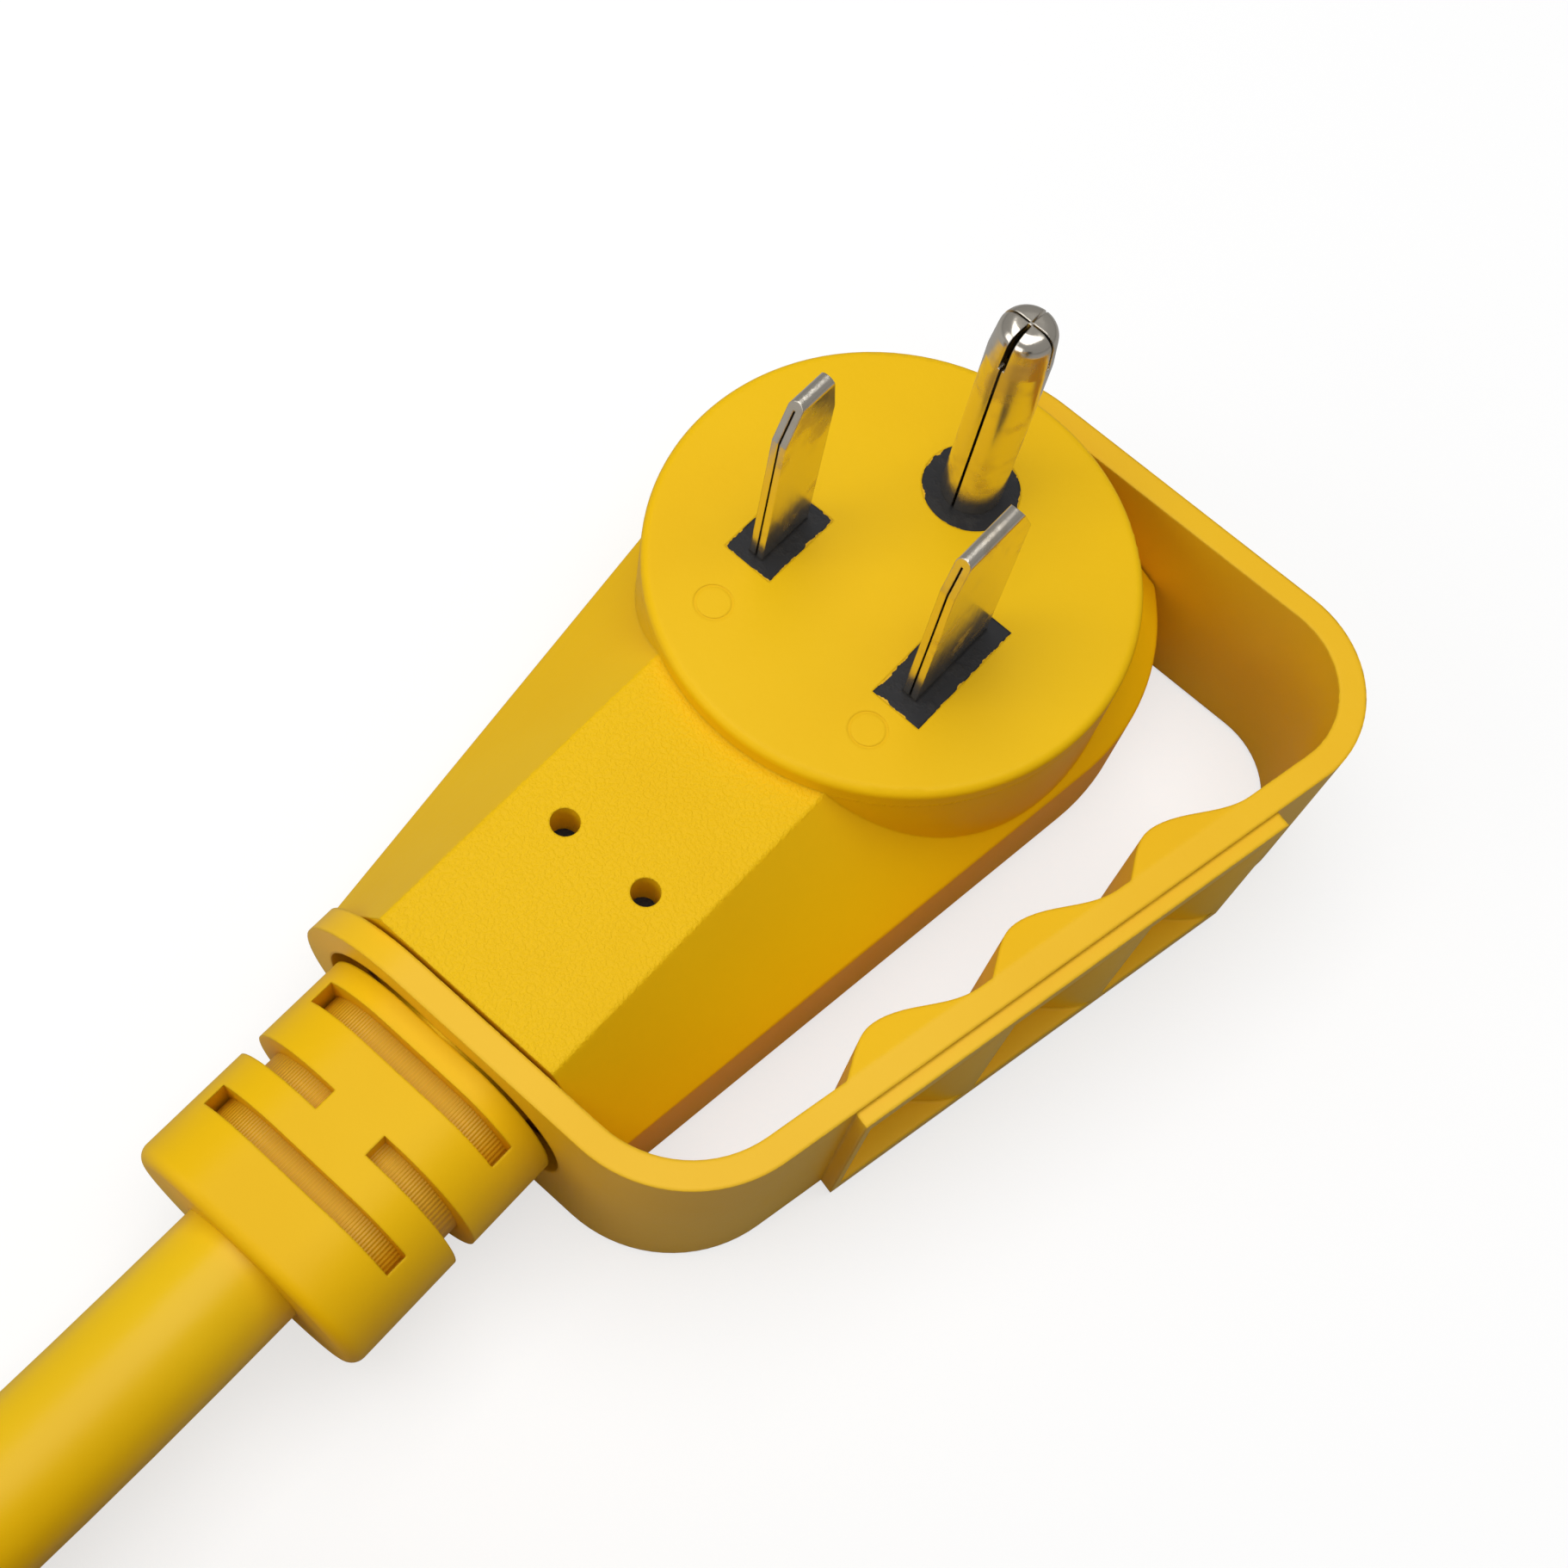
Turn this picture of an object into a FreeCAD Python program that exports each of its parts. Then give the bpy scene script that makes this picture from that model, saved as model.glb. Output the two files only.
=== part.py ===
"""Shore power cord: moulded 250 V plug with a strap handle, cord, coil and locking connector.

Modelled in millimetres about the plug: X runs along the plug's axis (the cord leaves towards -X),
the pins stand up along +Z and the plug lies on its back at Z = 0. X = 0, Y = 0 is the centre of
the round face. Every solid is moved at the end, so that the origin stands under the middle of
the plug's own box.
"""
import FreeCAD, Part
import math
import os

from FreeCAD import Vector as V

# ---- plug body ----
BODY_T = 28.6            # thickness from the back to the top flat
AXIS_Z = BODY_T / 2      # height of the plug's axis, which is also the handle's pivot axis
FACE_R = 27.8            # radius of the round face
FACE_RISE = 2.7          # rise of the round face above the top flat
BODY_NEAR = 66.8         # distance from the face centre to the cord end of the body
BODY_FAR = 28.2          # distance from the face centre to the far end of the body
NEAR_HALF_W = 19.7       # half width at the cord end
WIDENING = 0.135         # growth of the half width per millimetre towards the far end
HEAD_X = 7.0             # centre of the body's round far part
RIDGE_Y = 11.8           # half width of the top flat
SKIRT_TOP = AXIS_Z + 1.0 # height where the facets meet the skirt
BACK_EDGE_R = 2.6        # rounding of the back's rim
SWING_GAP = 0.4          # least gap between the body's near corners and the swinging handle
SKIRT_EDGE_R = 0.6       # rounding between facets and skirt
FACE_EDGE_R = 1.0        # rounding of the face's rim
RIDGE_R = 0.7            # rounding of the two ridges
CORE_HOLE_X = -46.3      # pair of moulding holes in the top flat
CORE_HOLE_Y = 5.6
CORE_HOLE_R = 1.6
MARK_R = 2.2             # faint ejector marks on the face
MARK_DEPTH = 0.06
MARK_LINE = 0.3
MARKS = ((-17.7, 10.9), (-17.6, -10.8))

# ---- pins ----
BLADE_Y = 11.46          # blade centre lines from the middle plane
BLADE_T = 1.83           # folded thickness of a blade
SHEET_T = 0.8            # sheet that the blades are folded from
BLADE_RISE = 27.6        # blade height above the face
BLADE_SHOULDER = 5.4     # height of the chamfered tip
NARROW_X = (-10.2, -2.6)
NARROW_TIP_X = (-8.2, -3.7)
WIDE_X = (-11.5, 0.7)
WIDE_TIP_X = (-10.2, -2.2)
GROUND_X = 13.3
GROUND_R = 3.48
GROUND_RISE = 31.0
GROUND_WALL = 0.9
GROUND_SEAM = 0.32       # width of the seam where the rolled sheet meets
GROUND_ROOT = 0.25       # the pin's root in the case is this much thinner all round
TIP_L = 5.2              # length of the tapering tip
TIP_R = 3.0              # its radius at the top, before rounding
TIP_RIM_R = 1.8          # rounding of its rim
PETAL_L = 4.6            # length of the slits that split the tip
SEAM_SLIT_HALF_W = 0.45  # half width at the wall of the slit that the seam runs into
PETAL_SLIT_HALF_W = 0.22 # and of the other three
BARREL_R = 3.1           # crimp barrels
BARREL_L = 9.0

# ---- black inner case ----
WINDOW_W = 6.4           # width of the windows round the blades
NARROW_WINDOW_X = (-11.6, -0.8)
WIDE_WINDOW_X = (-13.8, 2.2)
GROUND_WINDOW_R = GROUND_R + 2.12
CASE_FLOOR = 5.5
CASE_X = (-18.0, 20.8)   # head of the inner case, under the round face
CASE_HALF_W = 17.6
CASE_TOP = BODY_T - 3.6
CASE_COVER = 2.5         # least cover between the head's corners and the rim of the face
STEM_END = -BODY_NEAR + 12.8     # its stem, towards the cord
SHOULDER_START = STEM_END + 10.0 # its shoulder, where the conductors spread
SHOULDER_HALF_W = 16.8
SHOULDER_TOP = BODY_T - 7.6
STEM_HALF_W = 10.0
STEM_TOP = BODY_T - 5.6
WIRE_ROOM_H = 11.0       # height of the wiring room
WIRE_ROOM_WALL = 2.5

# ---- neck, strain relief and cord ----
NECK_WALL = 2.9          # the neck's wall round the cord
NECK_END = -BODY_NEAR - 3.7
BOOT_L = 27.8            # length of the boot, from the neck's end
BOOT_END = NECK_END - BOOT_L
BOOT_HALF_W = 15.3       # half width of the oval boot, across Y
BOOT_CORE = 0.4          # least thickness of the sleeve between cord and boot
BOOT_WALL = 2.5
BOOT_END_R = 1.6
BOOT_CAP = 4.5           # solid end of the boot, beyond its sleeve
SLOT_ROWS = (            # rows of slots, by their distances from the neck's end
    (5.5, 2.7, "top"), (13.5, 10.9, "side"), (20.0, 17.4, "top"))
TOP_SLOT_HALF_W = 12.6
BRIDGE_HALF_W = 3.4      # half width of the bridge between two side slots
CORD_D = 15.0
CONDUCTOR_D = 4.6
CONDUCTOR_SPOTS = ((2.7, -1.6), (-2.7, -1.6), (0.0, 3.1))

# ---- handle ----
STRAP_T = 3.1            # thickness of the strap
STRAP_HALF_H = 14.0      # half height of the strap
EYE_Y = 5.8              # offset of the eye's round ends from the axis
EYE_CLEARANCE = 0.1      # radial running clearance of the eye on the neck
RUNNING_GAP = 0.3        # gap at each face of the handle's two arms
GRIP_NEAR_Y = -29.3      # inner face of the grip where it would meet the near arm
GRIP_SLOPE = -0.2158     # the grip leans out towards the far end
NEAR_BEND_R = 13.0       # inner bend radii
FAR_BEND_R = 11.0
GRIP_START = -48.4       # first end of the raised frame
HUMP_PITCH = 19.0        # along the grip
HUMPS = 3
HUMP_H = 3.4
FRAME_T = 1.8            # the frame stands out this far from the strap
FRAME_LEDGE = 2.4        # ledges above and below the pockets
FRAME_LOWER = 0.5        # the frame is this much lower than the strap's edges
HUMP_TAPER = 0.42        # fall of the humps' top and underside for each mm inwards
PIVOT_R = 5.0
PIVOT_CLEARANCE = 0.05
PIVOT_HEAD_R = 8.5
PIVOT_HEAD_T = 2.4
WASHER_T = 1.0
INSERT_R = 4.2
INSERT_L = 7.0

# ---- coil and tail of the cord ----
COIL_CENTRE = (-226.0, -95.0)
COIL_COLUMNS = 4
COIL_LAYERS = 4
COIL_MEAN_R = 89.5
TAIL_STEPS = (           # steps of the tail: inwards from the outer turn, angle, part of the climb
    (0.0, 146.0, 0.0), (-0.5, 164.0, 0.03), (0.0, 181.5, 0.2), (0.6, 198.8, 0.45),
    (4.3, 216.3, 0.7), (10.6, 234.5, 0.9), (19.3, 253.7, 1.0), (28.1, 272.3, 1.0))
TIE_W = 24.0
TIE_T = 1.6

# ---- far-end connector, built along +X from its boot ----
CONN_BOOT_L = 34.0
CONN_BOOT_R = (10.5, 15.5)
CONN_BODY_L = 46.0
CONN_BODY_R = 23.5
CONN_NOSE_L = 17.0
CONN_NOSE_R = 19.5
CONN_FLANGE_R = 27.2
CONN_FLANGE_T = 3.0
LOCK_RING_R = 31.0
LOCK_RING_L = 24.0
LOCK_BORE_R = 27.6
LOCK_LIP_T = 3.0
LOCK_GRIPS = 18
GASKET_T = 1.6
SOCKET_PCD_R = 11.0
SOCKET_L = 15.0

X_AXIS = V(1, 0, 0)
Y_AXIS = V(0, 1, 0)
Z_AXIS = V(0, 0, 1)
FACE_Z = BODY_T + FACE_RISE
CORD_R = CORD_D / 2
NECK_R = CORD_R + NECK_WALL
BOOT_HALF_H = CORD_R + BOOT_CORE + BOOT_WALL


# ---- small helpers ----
def box(x, y, z):
    """Box between pairs of limits."""
    return Part.makeBox(x[1] - x[0], y[1] - y[0], z[1] - z[0], V(x[0], y[0], z[0]))


def rod(start, direction, radius, length):
    return Part.makeCylinder(radius, length, V(*start), direction)


def rod_x(x, radius, y=0.0, z=AXIS_Z):
    """Cylinder along X between two X limits."""
    return rod((x[0], y, z), X_AXIS, radius, x[1] - x[0])


def polygon(points):
    """Closed wire through points."""
    corners = [V(*p) for p in points]
    return Part.makePolygon(corners + corners[:1])


def prism(wire, direction):
    return Part.Face(wire).extrude(direction)


def mirrored(shape):
    """Mirror image across the middle plane."""
    return shape.mirror(V(0, 0, 0), Y_AXIS)


def oval_wire(half_w, half_h, x):
    """Oval outline with round ends, across the plug's axis at X = x."""
    c = half_w - half_h
    top, low = AXIS_Z + half_h, AXIS_Z - half_h
    edges = [
        Part.LineSegment(V(x, -c, top), V(x, c, top)).toShape(),
        Part.Arc(V(x, c, top), V(x, half_w, AXIS_Z), V(x, c, low)).toShape(),
        Part.LineSegment(V(x, c, low), V(x, -c, low)).toShape(),
        Part.Arc(V(x, -c, low), V(x, -half_w, AXIS_Z), V(x, -c, top)).toShape(),
    ]
    return Part.Wire(edges)


def oval(half_w, half_h, x):
    """Oval block between two X limits."""
    return prism(oval_wire(half_w, half_h, x[0]), X_AXIS * (x[1] - x[0]))


def edges_near(shape, test):
    """Edges whose middle passes the test."""
    found = []
    for edge in shape.Edges:
        middle = edge.valueAt((edge.FirstParameter + edge.LastParameter) / 2)
        if test(edge, middle):
            found.append(edge)
    return found


def rounded_path(points):
    """Straight runs joined by tangent arcs, each as large as its two runs allow."""
    pts = [V(*p) for p in points]
    edges, start, radii = [], pts[0], []
    for before, corner, after in zip(pts, pts[1:], pts[2:]):
        run_in, run_out = corner - before, after - corner
        shorter = min(run_in.Length, run_out.Length)
        turn = run_in.getAngle(run_out)
        reach = 0.45 * shorter
        radii.append(reach / math.tan(turn / 2))
        a = corner - V(run_in).normalize() * reach
        b = corner + V(run_out).normalize() * reach
        inward = (V(run_out).normalize() - V(run_in).normalize()).normalize()
        sag = radii[-1] / math.cos(turn / 2) - radii[-1]
        edges.append(Part.LineSegment(start, a).toShape())
        edges.append(Part.Arc(a, corner + inward * sag, b).toShape())
        start = b
    edges.append(Part.LineSegment(start, pts[-1]).toShape())
    return Part.Wire(edges), radii


def tube(points, radius, name):
    """Round tube along a rounded path, with a print of its radii and volume."""
    path, radii = rounded_path(points)
    direction = V(*points[1]) - V(*points[0])
    section = Part.Wire([Part.makeCircle(radius, V(*points[0]), direction)])
    solid = path.makePipeShell([section], True, False)
    expected = math.pi * radius ** 2 * path.Length
    print(name, "length", round(path.Length, 1), "least radius", round(min(radii), 1),
          "radii", [round(r) for r in radii], "volume / expected", round(solid.Volume / expected, 4))
    return solid


# ---- plug body ----
def half_width(x):
    """Half width of the body at X = x, along its straight sides."""
    return NEAR_HALF_W + WIDENING * (x + BODY_NEAR)


def head_radius():
    """Radius of the far part, which the two straight sides run into."""
    return half_width(HEAD_X) / math.hypot(1, WIDENING)


def body_side():
    """One straight side: top flat, sloping facet and skirt, from the middle plane out."""
    lean = math.atan(WIDENING)
    tangent = V(-math.sin(lean), math.cos(lean), 0)
    centre = V(HEAD_X, 0, 0)
    skirt_end = centre + tangent * head_radius()
    ridge_end = centre + tangent * RIDGE_Y
    near = V(-BODY_NEAR, 0, 0)

    def section(middle, ridge, skirt):
        up, edge = V(0, 0, BODY_T), V(0, 0, SKIRT_TOP)
        return polygon([middle, middle + up, ridge + up, skirt + edge, skirt])

    return Part.makeLoft([section(near, near + V(0, RIDGE_Y, 0), near + V(0, NEAR_HALF_W, 0)),
                          section(centre, ridge_end, skirt_end)], True, True)


def body_outside():
    """Skirt, facets, top flat and round face, without any inside."""
    side = body_side()
    skirt = rod((HEAD_X, 0, 0), Z_AXIS, head_radius(), SKIRT_TOP)
    cone = Part.makeCone(head_radius(), RIDGE_Y, BODY_T - SKIRT_TOP, V(HEAD_X, 0, SKIRT_TOP))
    block = side.fuse([mirrored(side), skirt, cone]).removeSplitter()
    block = block.makeFillet(BACK_EDGE_R, edges_near(
        block, lambda e, m: abs(m.z) < 0.01 and m.x > -BODY_NEAR + 0.5))
    block = block.makeFillet(SKIRT_EDGE_R, edges_near(
        block, lambda e, m: abs(m.z - SKIRT_TOP) < 0.01 and m.x > -BODY_NEAR + 0.5))
    block = block.makeFillet(RIDGE_R, edges_near(
        block, lambda e, m: abs(m.z - BODY_T) < 0.01 and m.x > -BODY_NEAR + 0.5))
    face = rod((0, 0, AXIS_Z), Z_AXIS, FACE_R, FACE_Z - AXIS_Z)
    face = face.makeFillet(FACE_EDGE_R, edges_near(face, lambda e, m: abs(m.z - FACE_Z) < 0.01))
    beyond = box((BODY_FAR, BODY_FAR + 40), (-50, 50), (-1, 50))
    return block.common(swing_room()).fuse(face).cut(beyond)


def swing_room():
    """Room inside the handle's near bend as it swings about the axis: a turned solid."""
    inner = strap_outline(0.0)[1]
    r = NEAR_BEND_R - SWING_GAP
    x0 = inner.x + SWING_GAP
    x1 = inner.x + NEAR_BEND_R
    y1 = -grip_y(x1) - NEAR_BEND_R * math.hypot(1, GRIP_SLOPE)
    half = r * math.sqrt(0.5)
    arc = Part.Arc(V(x0, y1, 0), V(x1 - half, y1 + half, 0), V(x1, y1 + r, 0))
    far = BODY_FAR + 50
    corners = [V(x1, y1 + r, 0), V(x1, far, 0), V(far, far, 0), V(far, 0, 0), V(x0, 0, 0), V(x0, y1, 0)]
    outline = Part.Wire([arc.toShape()] + Part.makePolygon(corners).Edges)
    room = Part.Face(outline).revolve(V(0, 0, 0), X_AXIS, 360)
    room.translate(V(0, 0, AXIS_Z))
    return room


def face_marks():
    """Faint round moulding marks."""
    marks = []
    for x, y in MARKS:
        spot = (x, y, FACE_Z - MARK_DEPTH)
        ring = rod(spot, Z_AXIS, MARK_R, MARK_DEPTH + 1)
        marks.append(ring.cut(rod(spot, Z_AXIS, MARK_R - MARK_LINE, MARK_DEPTH + 1)))
    return marks


def core_holes(depth_to):
    """The two moulding holes, from the top flat down to the inner case."""
    return [rod((CORE_HOLE_X, side * CORE_HOLE_Y, depth_to), Z_AXIS, CORE_HOLE_R, BODY_T)
            for side in (1, -1)]


def pivot_cut():
    """Blind bore for the threaded insert in the far end."""
    return rod_x((BODY_FAR - INSERT_L, BODY_FAR + 1), INSERT_R)


def plug_body():
    neck = rod_x((NECK_END, -BODY_NEAR + 1), NECK_R)
    body = body_outside().fuse(neck)
    for cut in [case_outside(), pivot_cut(), jacket_room()] + core_holes(STEM_TOP) + face_marks():
        body = body.cut(cut)
    return body.removeSplitter()


def jacket_room():
    """Bore for the cord's jacket, from the neck's end to the inner case."""
    return rod_x((NECK_END, STEM_END), CORD_R)


# ---- black inner case ----
def case_outside():
    """Head, shoulder, stem and the three raised windows that end flush with the face."""
    head = box(CASE_X, (-CASE_HALF_W, CASE_HALF_W), (CASE_FLOOR, CASE_TOP))
    head = head.common(rod((0, 0, 0), Z_AXIS, FACE_R - CASE_COVER, CASE_TOP))
    shoulder = box((SHOULDER_START, CASE_X[0]), (-SHOULDER_HALF_W, SHOULDER_HALF_W),
                   (CASE_FLOOR, SHOULDER_TOP))
    stem = box((STEM_END, SHOULDER_START), (-STEM_HALF_W, STEM_HALF_W), (CASE_FLOOR, STEM_TOP))
    up = (CASE_TOP, FACE_Z)
    narrow = box(NARROW_WINDOW_X, (BLADE_Y - WINDOW_W / 2, BLADE_Y + WINDOW_W / 2), up)
    wide = box(WIDE_WINDOW_X, (-BLADE_Y - WINDOW_W / 2, -BLADE_Y + WINDOW_W / 2), up)
    ground = rod((GROUND_X, 0, up[0]), Z_AXIS, GROUND_WINDOW_R, up[1] - up[0])
    return head.fuse([shoulder, stem, narrow, wide, ground])


def wire_room():
    """Room for the crimps and conductors, shared by both halves of the inner case."""
    z = (AXIS_Z - WIRE_ROOM_H / 2, AXIS_Z + WIRE_ROOM_H / 2)
    w = WIRE_ROOM_WALL
    head = box((CASE_X[0], CASE_X[1] - w), (-CASE_HALF_W + w, CASE_HALF_W - w), z)
    shoulder = box((SHOULDER_START + w, CASE_X[0]), (-SHOULDER_HALF_W + w, SHOULDER_HALF_W - w), z)
    stem = box((STEM_END, SHOULDER_START + w), (-STEM_HALF_W + w, STEM_HALF_W - w), z)
    return head.fuse([shoulder, stem])


def inner_case():
    """Top and bottom halves, parted on the plug's axis."""
    whole = case_outside().cut(wire_room())
    for pin in (blade(NARROW_X, NARROW_TIP_X, BLADE_Y), blade(WIDE_X, WIDE_TIP_X, -BLADE_Y),
                ground_root(GROUND_R - GROUND_ROOT), ground_foot()):
        whole = whole.cut(pin)
    above = box((-80, 60), (-40, 40), (AXIS_Z, 60))
    return whole.common(above).removeSplitter(), whole.cut(above).removeSplitter()


# ---- pins, each with its crimp barrel ----
def barrel(x_end, y):
    """Crimp barrel along X that ends at x_end."""
    outer = rod_x((x_end - BARREL_L, x_end), BARREL_R, y)
    return outer.cut(rod_x((x_end - BARREL_L, x_end), CONDUCTOR_D / 2, y))


def blade(x, tip_x, y):
    """Folded blade: the fold is its top, the slit shows along both narrow edges."""
    foot = AXIS_Z + BARREL_R - 0.4
    top = FACE_Z + BLADE_RISE
    shoulder = top - BLADE_SHOULDER
    outline = prism(polygon([(x[0], -10, foot), (x[1], -10, foot), (x[1], -10, shoulder),
                             (tip_x[1], -10, top), (tip_x[0], -10, top), (x[0], -10, shoulder)]),
                    Y_AXIS * 20)
    fold_r = BLADE_T / 2
    section = box((x[0] - 1, x[1] + 1), (-fold_r, fold_r), (foot, top - fold_r))
    section = section.fuse(rod((x[0] - 1, 0, top - fold_r), X_AXIS, fold_r, x[1] - x[0] + 2))
    slit = BLADE_T - 2 * SHEET_T
    section = section.cut(box((x[0] - 1, x[1] + 1), (-slit / 2, slit / 2),
                              (foot - 1, top - SHEET_T - 0.3)))
    solid = section.common(outline)
    solid.translate(V(0, y, 0))
    tab = box((x[0], x[0] + 2.4), (y - fold_r, y + fold_r), (foot - 0.6, foot + 0.8))
    return solid.fuse([tab, barrel(x[0] + 2.4, y)]).removeSplitter()


def ground_tip(inset):
    """Straight pin with a tapering rounded tip, moved inwards by inset."""
    top = FACE_Z + GROUND_RISE
    radius, tip = GROUND_R - inset, TIP_R - inset
    wall = rod((GROUND_X, 0, FACE_Z), Z_AXIS, radius, GROUND_RISE - TIP_L)
    cone = Part.makeCone(radius, tip, TIP_L - inset, V(GROUND_X, 0, top - TIP_L), Z_AXIS)
    blank = wall.fuse(cone)
    if inset:
        return blank
    rim = edges_near(blank, lambda e, m: abs(m.z - top) < 0.01)
    return blank.makeFillet(TIP_RIM_R, rim)


def petal_slit(turn, half):
    """Slit of the tip in one direction, half as wide at the middle as at the wall."""
    low = FACE_Z + GROUND_RISE - PETAL_L
    corners = [V(-0.2, half / 2, low), V(-GROUND_R - 1, half, low),
               V(-GROUND_R - 1, -half, low), V(-0.2, -half / 2, low)]
    slit = prism(polygon(corners), Z_AXIS * (PETAL_L + 1))
    slit.rotate(V(0, 0, 0), Z_AXIS, turn)
    slit.translate(V(GROUND_X, 0, 0))
    return slit


def ground_root(radius):
    """Hidden root of the ground pin, from its barrel up to the face."""
    foot = AXIS_Z + BARREL_R - 0.4
    return rod((GROUND_X, 0, foot), Z_AXIS, radius, FACE_Z - foot)


def ground_foot():
    """Tab and crimp barrel below the root."""
    foot = AXIS_Z + BARREL_R - 0.4
    inner_x = GROUND_X - GROUND_R + GROUND_WALL
    tab = box((GROUND_X - GROUND_R, inner_x), (-2.2, 2.2), (foot - 0.6, foot + 0.8))
    return tab.fuse(barrel(inner_x, 0))


def ground_pin():
    """Rolled pin: a tube with one seam, and a rounded tip split into four petals."""
    pin = ground_tip(0.0).fuse(ground_root(GROUND_R - GROUND_ROOT))
    pin = pin.cut(ground_tip(GROUND_WALL)).cut(ground_root(GROUND_R - GROUND_WALL))
    h = GROUND_SEAM / 2
    seam = box((GROUND_X - GROUND_R - 1, GROUND_X), (-h, h),
               (AXIS_Z, FACE_Z + GROUND_RISE - PETAL_L))
    pin = pin.cut(seam).cut(petal_slit(0, SEAM_SLIT_HALF_W))
    for turn in (90, 180, 270):
        pin = pin.cut(petal_slit(turn, PETAL_SLIT_HALF_W))
    return pin.fuse(ground_foot())


# ---- conductors and jacket end ----
def conductor(spot, barrel_end, end_y, name):
    """Insulated conductor from the end of the jacket into its crimp barrel."""
    y0, dz = spot
    mouth = barrel_end - BARREL_L
    run = mouth - STEM_END
    return tube([(STEM_END, y0, AXIS_Z + dz),
                 (STEM_END + 0.33 * run, y0, AXIS_Z + dz),
                 (STEM_END + 0.62 * run, y0 * 0.5 + end_y * 0.5, AXIS_Z + 0.3 * dz),
                 (mouth - 0.1 * run, end_y, AXIS_Z),
                 (mouth + 0.4 * BARREL_L, end_y + 0.001, AXIS_Z)], CONDUCTOR_D / 2, name)


# ---- strain relief ----
def strain_relief():
    """Oval boot with rows of slots that let it bend."""
    boot = oval(BOOT_HALF_W, BOOT_HALF_H, (BOOT_END, NECK_END))
    end_edges = edges_near(boot, lambda e, m: abs(m.x - BOOT_END) < 0.01)
    boot = boot.makeFillet(BOOT_END_R, end_edges)
    for far, near, kind in SLOT_ROWS:
        low, high = NECK_END - far, NECK_END - near
        ring = oval(BOOT_HALF_W + 5, BOOT_HALF_H + 5, (low, high))
        ring = ring.cut(oval(BOOT_HALF_W - BOOT_WALL, BOOT_HALF_H - BOOT_WALL, (low, high)))
        if kind == "top":
            window = box((low, high), (-TOP_SLOT_HALF_W, TOP_SLOT_HALF_W), (-10, 40))
        else:
            window = box((low, high), (BRIDGE_HALF_W, 30), (-10, 40))
            window = window.fuse(mirrored(window))
        boot = boot.cut(ring.common(window))
    return boot.cut(strain_core_blank()).cut(rod_x((BOOT_END - 1, NECK_END), CORD_R))


def strain_core_blank():
    x = (BOOT_END + BOOT_CAP, NECK_END)
    return oval(BOOT_HALF_W - BOOT_WALL, BOOT_HALF_H - BOOT_WALL, x)


def strain_core():
    """Sleeve between the jacket and the boot, seen through the slots."""
    core = strain_core_blank()
    return core.cut(rod_x((BOOT_END, NECK_END), CORD_R))


def jacket_end():
    """The cord's jacket inside the boot and the neck."""
    return rod_x((BOOT_END, STEM_END), CORD_R)


# ---- handle ----
def grip_y(x, offset=0.0):
    """Y of the grip's inner face at X = x, moved outwards by offset."""
    near_inner = -BODY_NEAR - RUNNING_GAP
    return GRIP_NEAR_Y + GRIP_SLOPE * (x - near_inner) - offset * math.hypot(1, GRIP_SLOPE)


def strap_outline(offset):
    """Open outline of the strap seen from above, moved outwards by offset."""
    near_x = -BODY_NEAR - RUNNING_GAP - offset
    far_x = BODY_FAR + RUNNING_GAP + offset
    return [V(near_x, STRAP_HALF_H + EYE_Y, 0), V(near_x, grip_y(near_x, offset), 0),
            V(far_x, grip_y(far_x, offset), 0), V(far_x, STRAP_HALF_H, 0)]


def bent_edges(corners, radii):
    """Lines joined by arcs of the given radii at the inner corners."""
    edges, start = [], corners[0]
    for before, corner, after, radius in zip(corners, corners[1:], corners[2:], radii):
        a_dir = V(before - corner).normalize()
        b_dir = V(after - corner).normalize()
        half = a_dir.getAngle(b_dir) / 2
        reach = radius / math.tan(half)
        a, b = corner + a_dir * reach, corner + b_dir * reach
        middle = corner + (a_dir + b_dir).normalize() * (radius / math.sin(half) - radius)
        edges.append(Part.LineSegment(start, a).toShape())
        edges.append(Part.Arc(a, middle, b).toShape())
        start = b
    edges.append(Part.LineSegment(start, corners[-1]).toShape())
    return edges


def strap_blank():
    """Strap without its humps, pockets and holes."""
    low = AXIS_Z - STRAP_HALF_H
    inner = strap_outline(0.0)
    outer = strap_outline(STRAP_T)
    ring = bent_edges(inner, (NEAR_BEND_R, FAR_BEND_R))
    ring.append(Part.LineSegment(inner[-1], outer[-1]).toShape())
    ring += bent_edges(outer, (NEAR_BEND_R + STRAP_T, FAR_BEND_R + STRAP_T))
    ring.append(Part.LineSegment(outer[0], inner[0]).toShape())
    wire = Part.Wire(Part.__sortEdges__(ring))
    wire.translate(V(0, 0, low))
    strap = prism(wire, Z_AXIS * (2 * STRAP_HALF_H))
    return strap.cut(arm_end_trim(-BODY_NEAR - 10, EYE_Y)).cut(arm_end_trim(BODY_FAR - 5, 0.0))


def arm_end_trim(x, y):
    """What is trimmed from an arm so that it ends in a half circle about Y = y."""
    span = (x, x + 20)
    blank = box(span, (y, y + STRAP_HALF_H + 5), (AXIS_Z - 30, AXIS_Z + 30))
    return blank.cut(rod_x(span, STRAP_HALF_H, y))


def grip_frame():
    """Grip coordinates: s along the grip, n outwards from its inner face, z up."""
    along = V(1, GRIP_SLOPE, 0).normalize()
    out = V(along.y, -along.x, 0)
    origin = V(GRIP_START, grip_y(GRIP_START), 0)

    def place(s, n, z):
        return origin + along * s + out * n + V(0, 0, z)

    return place


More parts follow.
